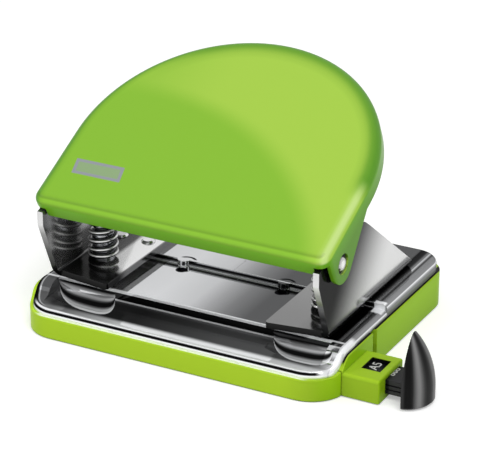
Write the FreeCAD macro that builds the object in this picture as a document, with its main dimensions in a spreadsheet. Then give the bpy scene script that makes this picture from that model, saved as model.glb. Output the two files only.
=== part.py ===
"""Two-hole desk punch: a hand lever presses two sprung punches through a bright steel base.

Millimetres, Z up. The origin is the middle of the chip tray's footprint on the table, +X is to the
right of someone who stands in front of the punch and +Y points away from them, to the rear.
"""
import FreeCAD, Part
import math
import os
from types import SimpleNamespace
import Sketcher

# Driving sizes: alias, value, meaning. Angles are in degrees.
SIZES = [
    ("hole_spacing", 80.0, "centre distance of the two punched holes"),
    ("punch_line", -15.0, "Y of both punch axes"),
    ("pivot_back", -27.5, "Y of the handle's pivot"),
    ("pivot_height", 39.9, "Z of the handle's pivot"),
    ("handle_tilt", 26.8, "slope of the raised handle"),
    ("running_gap", 0.05, "radial clearance of parts that turn or slide in each other"),
    ("seat_gap", 0.02, "radial clearance of riveted and pressed parts"),
    ("side_gap", 0.3, "clearance of flat parts that pass each other"),
    ("tray_margin", 6.4, "bracket wall's outer face to the tray's side face"),
    ("tray_half_depth", 44.0, "middle to the tray's front face"),
    ("tray_corner", 12.0, "plan radius of the tray's front corners"),
    ("tray_back_corner", 9.5, "plan radius of the tray's rear corners"),
    ("tray_wall", 2.4, "thickness of the tray's walls"),
    ("tray_floor", 1.5, "thickness of the tray's floor"),
    ("tray_front_height", 7.3, "height of the tray's front wall"),
    ("tray_side_height", 12.0, "height of the tray's side and rear walls"),
    ("tray_edge_round", 0.6, "rounding of the tray's bottom edge"),
    ("rim_inset", 1.1, "tray's outer face to the base plate's rim"),
    ("sheet", 1.2, "thickness of the base plate's sheet"),
    ("flange_height", 9.6, "top of the front flange"),
    ("flange_foot", 10.1, "top of the front flange where it meets the riser"),
    ("table_height", 14.1, "top of the paper table"),
    ("shelf_height", 16.0, "top of the rear shelf"),
    ("riser", -28.0, "Y of the table's front riser"),
    ("riser_wall", 3.0, "thickness of the front riser"),
    ("ramp_foot", -38.5, "Y where the side rim starts to rise"),
    ("ramp_top", -29.5, "Y where the side rim reaches the table"),
    ("shelf_front", -1.4, "Y of the shelf's front edge, the paper stop"),
    ("rim_round", 1.7, "rounding of the base plate's rim"),
    ("lug_offset", 18.2, "middle to each paper stop lug"),
    ("lug_radius", 2.3, "radius of the half-round stop lugs"),
    ("lug_front", -3.0, "Y of the front of the stop lugs"),
    ("scribe_length", 8.4, "length of the scribed centre line"),
    ("scribe_width", 0.3, "width of the scribed centre line"),
    ("scribe_depth", 0.15, "depth of the scribed centre line"),
    ("scoop_inward", 11.7, "punch axis to the inner end of its finger scoop"),
    ("scoop_outward", 8.6, "punch axis to the outer end of its finger scoop"),
    ("scoop_radius", 6.6, "radius of the scoop's trough"),
    ("scoop_top", 12.4, "Z of the scoop's upper edge in the riser"),
    ("scoop_bottom", 8.2, "Z of the scoop's lowest line"),
    ("scoop_centre", -32.5, "Y of the scoop's lowest line"),
    ("scoop_taper", 7.0, "length of each scoop's narrowing left end"),
    ("scoop_end_radius", 5.2, "radius of the trough at its left end"),
    ("bracket_sheet", 2.0, "thickness of the bracket's sheet"),
    ("wall_offset", 8.9, "punch axis to the bracket wall's outer face"),
    ("foot_offset", 12.1, "punch axis to the inner edge of the bracket's foot"),
    ("foot_front", -33.4, "Y of the foot's front inner corner"),
    ("foot_skew", 2.6, "how far the foot's front edge runs back towards the wall"),
    ("foot_back", 28.8, "Y of the foot's rear edge"),
    ("foot_corner", 1.2, "plan radius of the foot's inner corners"),
    ("bend_outer", 2.8, "outer bend radius of the bracket"),
    ("bend_inner", 0.8, "inner bend radius of the bracket"),
    ("wall_front", -39.1, "Y of the wall's foremost edge"),
    ("wall_lean_top", 36.3, "Z where the leaning front edge ends"),
    ("wall_step", 40.9, "Z of the wall's step under the handle"),
    ("wall_step_rise", 0.9, "rise of the step towards the crown"),
    ("wall_crown", 8.4, "radius of the wall's crown about the pivot"),
    ("wall_top_front", -24.0, "Y where the wall's crown ends"),
    ("wall_shoulder_back", -7.4, "Y of the first rear shoulder"),
    ("wall_shoulder_height", 45.3, "Z of the first rear shoulder"),
    ("wall_slope_back", -4.2, "Y where the rear slope starts"),
    ("wall_slope_height", 43.0, "Z where the rear slope starts"),
    ("rivet_radius", 1.5, "shank radius of the foot's rivets"),
    ("rivet_head", 2.35, "head radius of the foot's rivets"),
    ("rivet_tail", 1.75, "radius of the rivets' closed ends under the shelf"),
    ("rivet_dome", 0.8, "head height of the rivets"),
    ("rivet_bevel", 0.55, "bevel round the rivets' heads"),
    ("rivet_inward", 7.0, "punch axis to the foot's inner rivet"),
    ("rivet_outward", 3.2, "punch axis to the foot's outer rivet"),
    ("rivet_line", 1.6, "Y of the foot's rivets"),
    ("punch_radius", 2.95, "radius of the punch"),
    ("punch_tip", 16.3, "Z of the punch's cutting edge at rest"),
    ("punch_head", 4.0, "radius of the punch's head"),
    ("punch_head_height", 2.0, "height of the punch's head"),
    ("punch_notch", 1.2, "depth of the hollow in the cutting edge"),
    ("washer_radius", 5.2, "radius of the spring washer"),
    ("washer_height", 1.2, "thickness of the spring washer"),
    ("spring_radius", 5.0, "outer radius of the punch spring"),
    ("spring_wire", 1.25, "wire diameter of the punch spring"),
    ("spring_turns", 6.5, "turns of the punch spring"),
    ("bush_radius", 3.55, "outer radius of the guide bush"),
    ("bush_top", 26.5, "Z of the guide bush's top"),
    ("die_radius", 4.2, "outer radius of the die bush"),
    ("die_flange", 5.0, "radius of the die bush's collar"),
    ("die_height", 2.6, "height of the die bush"),
    ("bar_radius", 2.0, "radius of the pressure bar"),
    ("bar_rise", 3.0, "pressure bar's height above the pivot"),
    ("bar_gap", 0.3, "rest clearance between the bar and the punch head"),
    ("pin_radius", 2.0, "shank radius of the pivot pin"),
    ("pin_inner_head", 3.0, "radius of the pin's inner rivet head"),
    ("pin_inner_height", 0.9, "height of the pin's inner rivet head"),
    ("pin_outer_head", 2.7, "radius of the pin's outer head"),
    ("pin_outer_height", 2.2, "height of the pin's outer head"),
    ("arm_sheet", 1.2, "thickness of the pressure frame's sheet"),
    ("arm_end_radius", 4.6, "radius of the arm round the pivot"),
    ("frame_front", 14.0, "pressure frame's front edge, from the handle's front"),
    ("frame_back", 34.0, "pressure frame's rear edge, from the handle's front"),
    ("frame_rivet_offset", 30.0, "middle to each rivet of the pressure frame"),
    ("frame_rivet_line", 24.0, "rivets of the pressure frame, from the handle's front"),
    ("handle_clearance", 1.3, "bracket wall's outer face to the handle's skirt"),
    ("handle_straight", 30.6, "straight length of the handle's sides"),
    ("handle_sheet", 1.0, "thickness of the handle's sheet"),
    ("handle_skirt", 7.1, "depth of the handle's skirt"),
    ("handle_corner", 3.8, "plan radius of the handle's front corners"),
    ("handle_edge", 3.0, "rounding of the handle's top edge"),
    ("pivot_reach", 8.46, "pivot behind the handle's front face"),
    ("pivot_drop", 10.5, "pivot below the handle's top face"),
    ("ear_radius", 6.3, "radius of the handle's ears round the pivot"),
    ("ear_slope", 28.5, "slope of the skirt's edge behind the ears"),
    ("ear_hole", 3.3, "radius of the hole in each ear"),
    ("notch_width", 4.7, "width of the notches at the ends of the front skirt"),
    ("notch_top", 4.1, "notch in the front skirt, below the top face"),
    ("block_width", 11.9, "tray's side face to the guide housing's right face"),
    ("block_front", -34.9, "Y of the housing's front face"),
    ("block_back", -17.6, "Y of the housing's rear face"),
    ("block_height", 8.1, "Z of the housing's top"),
    ("block_foot", 0.3, "Z of the housing's underside"),
    ("block_round", 0.7, "rounding of the housing's edges"),
    ("wing_back", -14.0, "Y of the rear end of the housing's wing"),
    ("tray_gap_back", -11.1, "Y where the tray's side wall starts again"),
    ("window_offset", 3.3, "tray's side face to the window"),
    ("window_width", 6.3, "width of the window across the rule's travel"),
    ("window_front", -29.3, "Y of the window's front edge"),
    ("window_back", -21.2, "Y of the window's rear edge"),
    ("rule_front", -30.3, "Y of the guide rule's front edge"),
    ("rule_back", -20.1, "Y of the guide rule's rear edge"),
    ("rule_bottom", 2.0, "Z of the guide rule's underside"),
    ("rule_top", 6.5, "Z of the guide rule's top"),
    ("rule_reach", -22.0, "X of the guide rule's inner end"),
    ("rule_groove", 0.5, "width and depth of the two grooves along the rule's front"),
    ("channel_end", -26.0, "X of the inner end of the rule channel"),
    ("channel_wall", 1.2, "thickness of the rule channel's sides"),
    ("channel_roof", 0.6, "thickness of the rule channel's roof"),
    ("boss_radius", 3.0, "radius of the channel's bosses"),
    ("boss_inner", -12.0, "X of the inner boss"),
    ("boss_outer", 24.0, "X of the outer boss"),
    ("knob_offset", 19.1, "tray's side face to the knob's flat inner face"),
    ("knob_radius", 8.8, "radius of the knob's round foot"),
    ("knob_cut", 2.05, "axis of the knob's round side to its flat face"),
    ("knob_forward", 1.5, "middle of the knob in front of the rule's middle"),
    ("knob_foot", 0.4, "Z of the knob's underside"),
    ("knob_shoulder", 4.5, "Z where the knob starts to narrow"),
    ("knob_ogive", 28.3, "radius of the knob's pointed side"),
    ("knob_edge", 0.7, "bevel round the knob's foot"),
]

doc = FreeCAD.newDocument("two_hole_punch")
sheet = doc.addObject("Spreadsheet::Sheet", "Sizes")
for row, (alias, value, meaning) in enumerate(SIZES, start=1):
    sheet.set("A%d" % row, alias)
    sheet.set("B%d" % row, str(value))
    sheet.setAlias("B%d" % row, alias)
    sheet.set("C%d" % row, meaning)
doc.recompute()


class Size:
    """A number together with the sheet formula that gives it."""

    def __init__(self, value, formula=None):
        self.value = float(value)
        self.formula = formula or repr(float(value))

    def _join(self, other, sign, value):
        return Size(value, "(%s %s %s)" % (self.formula, sign, other.formula))

    def __add__(self, other):
        other = as_size(other)
        return self._join(other, "+", self.value + other.value)

    def __sub__(self, other):
        other = as_size(other)
        return self._join(other, "-", self.value - other.value)

    def __mul__(self, other):
        other = as_size(other)
        return self._join(other, "*", self.value * other.value)

    def __truediv__(self, other):
        other = as_size(other)
        return self._join(other, "/", self.value / other.value)

    def __radd__(self, other):
        return as_size(other) + self

    def __rsub__(self, other):
        return as_size(other) - self

    def __rmul__(self, other):
        return as_size(other) * self

    def __neg__(self):
        return 0 - self


def as_size(number):
    return number if isinstance(number, Size) else Size(number)


def sine(angle):
    return Size(math.sin(math.radians(angle.value)), "sin(%s * 1 deg)" % angle.formula)


def cosine(angle):
    return Size(math.cos(math.radians(angle.value)), "cos(%s * 1 deg)" % angle.formula)


def root(square):
    return Size(math.sqrt(square.value), "sqrt(%s)" % square.formula)


at = SimpleNamespace(**{alias: Size(value, "Sizes." + alias) for alias, value, _ in SIZES})


def bind(thing, prop, size):
    thing.setExpression(prop, as_size(size).formula)


# ---------------------------------------------------------------- sketches and features

TOUCH = 1e-3  # lengths below this count as nothing
SPRING_STEPS = 14  # sections of wire in one turn of a spring

def new_body(name):
    body = doc.addObject("PartDesign::Body", name)
    body.Label = name
    return body


def sketch_on(body, role, offset=0):
    """Empty sketch on an origin plane of its body, moved along the plane's normal."""
    sketch = body.newObject("Sketcher::SketchObject", body.Name + "_sketch")
    plane = next(item for item in body.Origin.OriginFeatures if item.Role == role)
    sketch.AttachmentSupport = [(plane, "")]
    sketch.MapMode = "FlatFace"
    bind(sketch, "AttachmentOffset.Base.z", offset)
    return sketch


def fix(sketch, kind, geometry, point, size, axis):
    """Tie one coordinate of a point, or a radius, to a size."""
    size = as_size(size)
    if kind == "Radius":
        index = sketch.addConstraint(Sketcher.Constraint("Radius", geometry, size.value))
    elif abs(size.value) < 1e-9:
        sketch.addConstraint(Sketcher.Constraint("PointOnObject", geometry, point, axis))
        return
    else:
        index = sketch.addConstraint(
            Sketcher.Constraint(kind, -1, 1, geometry, point, size.value))
    sketch.setExpression("Constraints[%d]" % index, size.formula)


def outline(sketch, points, arcs=None):
    """Closed outline. arcs maps the number of a side to its (radius, bulge): a bulge of 1 turns the
    side anticlockwise about its centre and -1 clockwise. Arcs are under half a circle."""
    arcs = arcs or {}
    points = [(as_size(a), as_size(b)) for a, b in points]
    ends = []
    for side, (start, end) in enumerate(zip(points, points[1:] + points[:1])):
        p = FreeCAD.Vector(start[0].value, start[1].value, 0)
        q = FreeCAD.Vector(end[0].value, end[1].value, 0)
        if side not in arcs:
            geometry = sketch.addGeometry(Part.LineSegment(p, q), False)
            ends.append((geometry, 1, 2))
            continue
        radius, bulge = arcs[side]
        chord = q - p
        reach = math.sqrt(max(as_size(radius).value ** 2 - chord.Length ** 2 / 4, 0))
        across = FreeCAD.Vector(-chord.y, chord.x, 0).normalize()
        centre = (p + q) * 0.5 + across * reach * bulge
        first, last = (p, q) if bulge > 0 else (q, p)
        angles = [math.atan2(v.y - centre.y, v.x - centre.x) for v in (first, last)]
        circle = Part.Circle(centre, FreeCAD.Vector(0, 0, 1), as_size(radius).value)
        geometry = sketch.addGeometry(Part.ArcOfCircle(circle, angles[0], angles[1]), False)
        ends.append((geometry, 1, 2) if bulge > 0 else (geometry, 2, 1))
        fix(sketch, "Radius", geometry, 0, radius, 0)
    for side, (geometry, start, _) in enumerate(ends):
        before, _, last = ends[side - 1]
        sketch.addConstraint(Sketcher.Constraint("Coincident", before, last, geometry, start))
        fix(sketch, "DistanceX", geometry, start, points[side][0], -2)
        fix(sketch, "DistanceY", geometry, start, points[side][1], -1)


def rectangle(sketch, left, right, low, high):
    outline(sketch, [(left, low), (right, low), (right, high), (left, high)])


def rounded_rectangle(sketch, half_width, front, back, front_radius, back_radius):
    w, f, b = half_width, front_radius, back_radius
    outline(sketch, [
        (f - w, front), (w - f, front), (w, front + f), (w, back - b),
        (w - b, back), (b - w, back), (-w, back - b), (-w, front + f),
    ], {1: (f, 1), 3: (b, 1), 5: (b, 1), 7: (f, 1)})


def circle(sketch, across, up, radius):
    centre = FreeCAD.Vector(as_size(across).value, as_size(up).value, 0)
    geometry = sketch.addGeometry(
        Part.Circle(centre, FreeCAD.Vector(0, 0, 1), as_size(radius).value), False)
    fix(sketch, "Radius", geometry, 0, radius, 0)
    fix(sketch, "DistanceX", geometry, 3, across, -2)
    fix(sketch, "DistanceY", geometry, 3, up, -1)


def feature(body, kind, sketch, length):
    item = body.newObject("PartDesign::" + kind, body.Name + "_" + kind.lower())
    item.Profile = sketch
    bind(item, "Length", length)
    sketch.Visibility = False
    return item


def pad(body, sketch, length):
    """Adds along the sketch's normal: +Z, -Y or +X."""
    return feature(body, "Pad", sketch, length)


def pocket(body, sketch, length):
    """Cuts against the sketch's normal: -Z, +Y or -X."""
    doc.recompute()
    before = body.Shape.Volume
    item = feature(body, "Pocket", sketch, length)
    doc.recompute()
    if body.Shape.Volume > before - 1e-6:
        raise RuntimeError("pocket in %s cuts nothing" % body.Label)
    return item


def revolve(body, kind, sketch, axis):
    item = body.newObject("PartDesign::" + kind, body.Name + "_" + kind.lower())
    item.Profile = sketch
    item.ReferenceAxis = (sketch, [axis])
    item.Angle = 360
    return item


def dress(body, kind, size_name, test, size):
    doc.recompute()
    base = body.Tip
    names = []
    for number, edge in enumerate(base.Shape.Edges, start=1):
        middle = edge.valueAt((edge.FirstParameter + edge.LastParameter) / 2)
        if test(edge, middle):
            names.append("Edge%d" % number)
    if not names:
        raise RuntimeError("no edge to dress on %s" % body.Label)
    item = body.newObject("PartDesign::" + kind, body.Name + "_" + kind.lower())
    item.Base = (base, names)
    bind(item, size_name, size)
    doc.recompute()
    return item


def fillet(body, test, radius):
    """Rounds every edge whose middle point passes the test."""
    return dress(body, "Fillet", "Radius", test, radius)


def chamfer(body, test, size):
    """Bevels every edge whose middle point passes the test."""
    return dress(body, "Chamfer", "Size", test, size)


def near(value, size):
    return abs(value - as_size(size).value) < TOUCH


def upright(edge):
    box = edge.BoundBox
    return box.XLength < TOUCH and box.YLength < TOUCH and box.ZLength > TOUCH


def level(edge):
    return edge.BoundBox.ZLength < TOUCH


def mirrored_pair(make):
    """The same piece on the left and on the right."""
    for prefix, side in (("left_", -1), ("right_", 1)):
        make(prefix, side)


def span(side, inner, outer):
    """Sorted X limits of a stretch on one side."""
    return (inner, outer) if side > 0 else (-outer, -inner)


def turned(name, across, up_axis, profile):
    """Round piece: a half profile of (radius, height) points turned about an upright axis."""
    body = new_body(name)
    sketch = sketch_on(body, "XZ_Plane")
    outline(sketch, profile)
    revolve(body, "Revolution", sketch, "V_Axis")
    bind(body, "Placement.Base.x", across)
    bind(body, "Placement.Base.y", up_axis)
    return body


# ---------------------------------------------------------------- shared places

punch_x = at.hole_spacing / 2
rivet_inner = punch_x - at.rivet_inward
rivet_outer = punch_x + at.rivet_outward
scoop_inner = punch_x - at.scoop_inward
scoop_outer = punch_x + at.scoop_outward
foot_inner = punch_x - at.foot_offset
foot_top = at.shelf_height + at.bracket_sheet
bracket_outer = punch_x + at.wall_offset
wall_inner = bracket_outer - at.bracket_sheet
arm_outer = wall_inner - at.side_gap
arm_inner = arm_outer - at.arm_sheet
bar_height = at.pivot_height + at.bar_rise
punch_top = bar_height - at.bar_radius - at.bar_gap
tray_half_width = bracket_outer + at.tray_margin
base_half_width = tray_half_width - at.rim_inset
base_half_depth = at.tray_half_depth - at.rim_inset
base_corner = at.tray_corner - at.rim_inset
base_back_corner = at.tray_back_corner - at.rim_inset
base_bottom = at.tray_front_height + at.seat_gap
handle_half_width = bracket_outer + at.handle_clearance + at.handle_sheet
handle_front = (at.pivot_back - at.pivot_reach * cosine(at.handle_tilt)
                - at.pivot_drop * sine(at.handle_tilt))
handle_top = (at.pivot_height + at.pivot_drop * cosine(at.handle_tilt)
              - at.pivot_reach * sine(at.handle_tilt))
window_inner = tray_half_width + at.window_offset
knob_face = tray_half_width + at.knob_offset
far = tray_half_width + at.tray_half_depth  # beyond every outline



def ramp(sketch, low, high, cap, back):
    """Side outline of the rim: level in front, an S-shaped rise of two arcs, then level to back."""
    run = (at.ramp_top - at.ramp_foot) / 2
    rise = (high - low) / 2
    radius = (run * run + rise * rise) / (2 * rise)
    outline(sketch, [
        (-far, low), (at.ramp_foot, low), (at.ramp_foot + run, low + rise), (at.ramp_top, high),
        (back, high), (back, cap), (-far, cap),
    ], {1: (radius, 1), 2: (radius, -1)})


def in_handle(body):
    """Places a body that is drawn level, with the handle's front top edge at its origin."""
    body.Placement.Rotation = FreeCAD.Rotation(FreeCAD.Vector(1, 0, 0), at.handle_tilt.value)
    bind(body, "Placement.Rotation.Angle", at.handle_tilt)
    bind(body, "Placement.Base.y", handle_front)
    bind(body, "Placement.Base.z", handle_top)


# ---------------------------------------------------------------- base

def base_plate():
    """Pressed sheet: rear shelf, paper table, front flange and a turned-down rim all round."""
    body = new_body("base_plate")
    bottom = base_bottom
    skirt = at.tray_side_height + at.seat_gap
    ramp_inner = scoop_outer + at.sheet
    plan = sketch_on(body, "XY_Plane", bottom)
    rounded_rectangle(plan, base_half_width, -base_half_depth, base_half_depth,
                      base_corner, base_back_corner)
    pad(body, plan, at.shelf_height - bottom)
    top = sketch_on(body, "YZ_Plane", far)
    ramp(top, at.flange_height, at.table_height, far, at.shelf_front)
    pocket(body, top, 2 * far)
    fillet(body, lambda edge, p: p.z > at.flange_height.value - TOUCH and on_rim(p)
           and not upright(edge), at.rim_round)
    run = (at.ramp_top - at.ramp_foot) / 2
    rise = (skirt - bottom) / 2
    bend = (run * run + rise * rise) / (2 * rise)
    for side in (-1, 1):
        low, high = span(side, ramp_inner, far)
        under = sketch_on(body, "YZ_Plane", high)
        outline(under, [
            (at.ramp_foot, bottom), (at.ramp_foot + run, bottom + rise), (at.ramp_top, skirt),
            (far, skirt), (far, 0), (at.ramp_foot, 0),
        ], {0: (bend, 1), 1: (bend, -1)})
        pocket(body, under, high - low)
    behind = sketch_on(body, "YZ_Plane", ramp_inner)
    rectangle(behind, at.riser + at.riser_wall, far, 0, skirt)
    pocket(body, behind, 2 * ramp_inner)
    riser = sketch_on(body, "YZ_Plane", scoop_outer)
    outline(riser, [
        (at.riser, at.flange_foot), (at.riser, at.shelf_height), (at.ramp_foot, at.shelf_height),
        (at.ramp_foot, at.flange_height),
    ])
    pocket(body, riser, 2 * scoop_outer)
    lugs = sketch_on(body, "XY_Plane", at.table_height - at.sheet / 2)
    for side in (-1, 1):
        circle(lugs, side * at.lug_offset, at.lug_front + at.lug_radius, at.lug_radius)
    pad(body, lugs, at.shelf_height - at.table_height + at.sheet / 2)
    rear = base_half_depth - at.sheet
    hollow(body, -rear, at.riser + at.sheet, at.flange_height, base_corner - at.sheet, at.sheet)
    hollow(body, at.riser + at.riser_wall, rear, at.table_height, at.sheet, base_back_corner - at.sheet)
    hollow(body, at.shelf_front + at.sheet, rear, at.shelf_height, at.sheet, base_back_corner - at.sheet)
    for side in (-1, 1):
        scoop(body, side)
    holes = sketch_on(body, "XY_Plane", far)
    for side in (-1, 1):
        circle(holes, side * punch_x, at.punch_line, at.die_radius + at.seat_gap)
        for across in (rivet_inner, rivet_outer):
            circle(holes, side * across, at.rivet_line, at.rivet_radius + at.seat_gap)
    pocket(body, holes, 2 * far)
    scribe = sketch_on(body, "XY_Plane", at.shelf_height)
    rectangle(scribe, -at.scribe_width / 2, at.scribe_width / 2,
              at.shelf_front - at.scribe_width, at.shelf_front + at.scribe_length)
    pocket(body, scribe, at.scribe_depth)


def on_rim(point):
    """True on the outer faces of the base plate's plan."""
    corner = (base_corner if point.y < 0 else base_back_corner).value
    across = abs(point.x) - base_half_width.value + corner
    along = abs(point.y) - base_half_depth.value + corner
    if across > 0 and along > 0:
        return math.hypot(across, along) > corner - TOUCH
    return max(across, along) > corner - TOUCH


def hollow(body, front, back, surface, front_corner, back_corner):
    """Opens the underside up to one sheet thickness below a surface."""
    plan = sketch_on(body, "XY_Plane", surface - at.sheet)
    rounded_rectangle(plan, base_half_width - at.sheet, front, back, front_corner, back_corner)
    pocket(body, plan, surface)


def scoop(body, side):
    """Finger scoop: a trough pressed into the foot of the riser, narrower to the left, with a bulge
    below it."""
    low, high = span(side, scoop_inner, scoop_outer)
    bulge = sketch_on(body, "XY_Plane", base_bottom)
    rectangle(bulge, low - at.sheet, high + at.sheet, at.scoop_centre - at.scoop_radius + at.sheet,
              at.riser + at.riser_wall)
    pad(body, bulge, at.flange_height - at.sheet / 2 - base_bottom)
    straight = trough(body, high, at.scoop_radius)
    pocket(body, straight, high - low - at.scoop_taper)
    taper = body.newObject("PartDesign::SubtractiveLoft", body.Name + "_taper")
    taper.Profile = trough(body, low + at.scoop_taper, at.scoop_radius)
    taper.Sections = [trough(body, low, at.scoop_end_radius)]
    taper.Ruled = True


def trough(body, across, reach):
    """Side outline of a scoop at one X: an arc about the scoop's centre line, open upwards."""
    section = sketch_on(body, "YZ_Plane", across)
    centre = at.scoop_bottom + at.scoop_radius
    front_run = root(reach * reach - (centre - at.flange_foot) * (centre - at.flange_foot))
    back_run = root(reach * reach - (centre - at.scoop_top) * (centre - at.scoop_top))
    outline(section, [
        (at.scoop_centre + back_run, at.scoop_top), (at.scoop_centre - 2 * reach, at.scoop_top),
        (at.scoop_centre - front_run, at.flange_foot),
    ], {2: (reach, 1)})
    return section


def bracket(prefix, side):
    """Bent sheet: a foot on the shelf that reaches over the table, and an upright side wall."""
    body = new_body(prefix + "bracket")
    inner, outer, wall = foot_inner, bracket_outer, wall_inner
    top = at.pivot_height + at.wall_crown
    section = sketch_on(body, "XZ_Plane", -at.foot_back)
    outline(section, [(side * across, up) for across, up in (
        (inner, at.shelf_height), (outer - at.bend_outer, at.shelf_height),
        (outer, at.shelf_height + at.bend_outer), (outer, top), (wall, top),
        (wall, foot_top + at.bend_inner), (wall - at.bend_inner, foot_top), (inner, foot_top),
    )], {1: (at.bend_outer, side), 5: (at.bend_inner, -side)})
    pad(body, section, at.foot_back - at.wall_front)
    low, high = span(side, outer - at.bend_outer, outer)
    around = sketch_on(body, "YZ_Plane", high)
    rectangle(around, -far, far, 0, far)
    crown_front = at.wall_step + at.wall_step_rise
    drop = crown_front - at.pivot_height
    reach = at.wall_top_front - at.pivot_back
    outline(around, [
        (at.foot_front + at.foot_skew, at.shelf_height), (at.foot_back, at.shelf_height),
        (at.foot_back, foot_top), (at.wall_slope_back, at.wall_slope_height),
        (at.wall_shoulder_back, at.wall_shoulder_height),
        (at.wall_top_front, at.pivot_height + root(at.wall_crown * at.wall_crown - reach * reach)),
        (at.pivot_back, top),
        (at.pivot_back - root(at.wall_crown * at.wall_crown - drop * drop), crown_front),
        (at.wall_front, at.wall_step), (at.wall_front, at.wall_lean_top),
    ], {5: (at.wall_crown, 1), 6: (at.wall_crown, 1)})
    pocket(body, around, high - low)
    front = sketch_on(body, "XY_Plane", foot_top)
    bend = outer - at.bend_outer
    outline(front, [
        (side * inner, at.foot_front), (side * bend, at.foot_front + at.foot_skew),
        (side * bend, -far), (0, -far), (0, at.foot_front),
    ])
    pocket(body, front, at.bracket_sheet)
    fillet(body, lambda edge, p: upright(edge) and near(abs(p.x), inner), at.foot_corner)
    holes = sketch_on(body, "XY_Plane", foot_top)
    circle(holes, side * punch_x, at.punch_line, at.bush_radius + at.seat_gap)
    for across in (rivet_inner, rivet_outer):
        circle(holes, side * across, at.rivet_line, at.rivet_radius + at.seat_gap)
    pocket(body, holes, foot_top)
    pivot = sketch_on(body, "YZ_Plane", high)
    circle(pivot, at.pivot_back, at.pivot_height, at.pin_radius + at.seat_gap)
    pocket(body, pivot, high - low)


def rivets(prefix, side):
    """Two rivets that hold the foot to the shelf."""
    body = new_body(prefix + "bracket_rivets")
    under = at.shelf_height - at.sheet
    shank = sketch_on(body, "XY_Plane", under)
    heads = sketch_on(body, "XY_Plane", foot_top)
    tails = sketch_on(body, "XY_Plane", under - at.rivet_dome)
    for across in (rivet_inner, rivet_outer):
        circle(shank, side * across, at.rivet_line, at.rivet_radius)
        circle(heads, side * across, at.rivet_line, at.rivet_head)
        circle(tails, side * across, at.rivet_line, at.rivet_tail)
    body.AllowCompound = True
    pad(body, shank, foot_top - under)
    pad(body, heads, at.rivet_dome)
    pad(body, tails, at.rivet_dome)
    chamfer(body, lambda edge, p: near(p.z, foot_top + at.rivet_dome), at.rivet_bevel)


def die(prefix, side):
    """Hardened die bush, flush with the table, with a collar under the sheet."""
    low = at.table_height - at.die_height
    under = at.table_height - at.sheet
    bore = at.punch_radius + at.running_gap
    turned(prefix + "die", side * punch_x, at.punch_line, [
        (bore, low), (at.die_flange, low), (at.die_flange, under), (at.die_radius, under),
        (at.die_radius, at.table_height), (bore, at.table_height)])


def guide_bush(prefix, side):
    """Upright sleeve on the foot that guides the punch inside its spring."""
    bore = at.punch_radius + at.running_gap
    turned(prefix + "guide_bush", side * punch_x, at.punch_line, [
        (bore, at.shelf_height), (at.bush_radius, at.shelf_height),
        (at.bush_radius, at.bush_top), (bore, at.bush_top)])


def pivot_pin(prefix, side):
    """Shouldered rivet through the bracket's wall and the pressure frame's arm."""
    body = new_body(prefix + "pivot_pin")
    inner = arm_inner - at.pin_inner_height
    outer = bracket_outer + at.pin_outer_height
    profile = sketch_on(body, "XY_Plane")
    axis = as_size(0.0)
    points = [
        (inner, axis), (outer, axis), (outer, at.pin_outer_head), (bracket_outer, at.pin_outer_head),
        (bracket_outer, at.pin_radius), (arm_inner - at.seat_gap, at.pin_radius),
        (arm_inner - at.seat_gap, at.pin_inner_head), (inner, at.pin_inner_head)]
    outline(profile, [(side * x, y) for x, y in points][::side])
    revolve(body, "Revolution", profile, "H_Axis")
    chamfer(body, lambda edge, p: near(abs(p.x), outer), at.pin_outer_height * 0.4)
    bind(body, "Placement.Base.y", at.pivot_back)
    bind(body, "Placement.Base.z", at.pivot_height)


# ---------------------------------------------------------------- handle

def handle_shell():
    """Drawn sheet cover: half-oval top, turned-down skirt, and two ears round the pivot."""
    body = new_body("handle_shell")
    depth = at.pivot_drop + at.ear_radius
    w = handle_half_width
    handle_outline(body, w, 0, at.handle_corner, -depth, depth)
    fillet(body, lambda edge, p: near(p.z, 0) and level(edge), at.handle_edge)
    inner = w - at.handle_sheet
    plan = sketch_on(body, "XY_Plane", -at.handle_sheet)
    half_oval(plan, inner, at.handle_sheet, at.handle_corner - at.handle_sheet)
    pocket(body, plan, depth)
    fillet(body, lambda edge, p: near(p.z, -at.handle_sheet) and level(edge),
           at.handle_edge - at.handle_sheet)
    ears = sketch_on(body, "YZ_Plane", far)
    slope = at.ear_slope
    touch_y = at.pivot_reach + at.ear_radius * sine(slope)
    touch_z = -at.pivot_drop - at.ear_radius * cosine(slope)
    skirt_end = touch_y + (-at.handle_skirt - touch_z) * cosine(slope) / sine(slope)
    ear_front = at.pivot_reach - at.ear_radius
    outline(ears, [
        (-far, -at.handle_skirt), (ear_front, -at.handle_skirt), (ear_front, -at.pivot_drop),
        (at.pivot_reach, -depth), (touch_y, touch_z),
        (skirt_end, -at.handle_skirt), (2 * far, -at.handle_skirt), (2 * far, -far), (-far, -far),
    ], {2: (at.ear_radius, 1), 3: (at.ear_radius, 1)})
    pocket(body, ears, 2 * far)
    for side in (-1, 1):
        low, high = span(side, w - at.notch_width, far)
        notch = sketch_on(body, "YZ_Plane", high)
        rectangle(notch, -far, ear_front, -far, -at.notch_top)
        pocket(body, notch, high - low)
    hole = sketch_on(body, "YZ_Plane", far)
    circle(hole, at.pivot_reach, -at.pivot_drop, at.ear_hole)
    pocket(body, hole, 2 * far)
    in_handle(body)


def half_oval(sketch, half_width, front, corner):
    """Plan of the handle: a straight front and sides, closed by a half circle."""
    w, c, back = half_width, corner, at.handle_straight
    outline(sketch, [
        (c - w, front), (w - c, front), (w, front + c), (w, back), (0, back + w),
        (-w, back), (-w, front + c),
    ], {1: (c, 1), 3: (w, 1), 4: (w, 1), 6: (c, 1)})


def handle_outline(body, half_width, front, corner, bottom, height):
    plan = sketch_on(body, "XY_Plane", bottom)
    half_oval(plan, half_width, front, corner)
    pad(body, plan, height)


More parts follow.
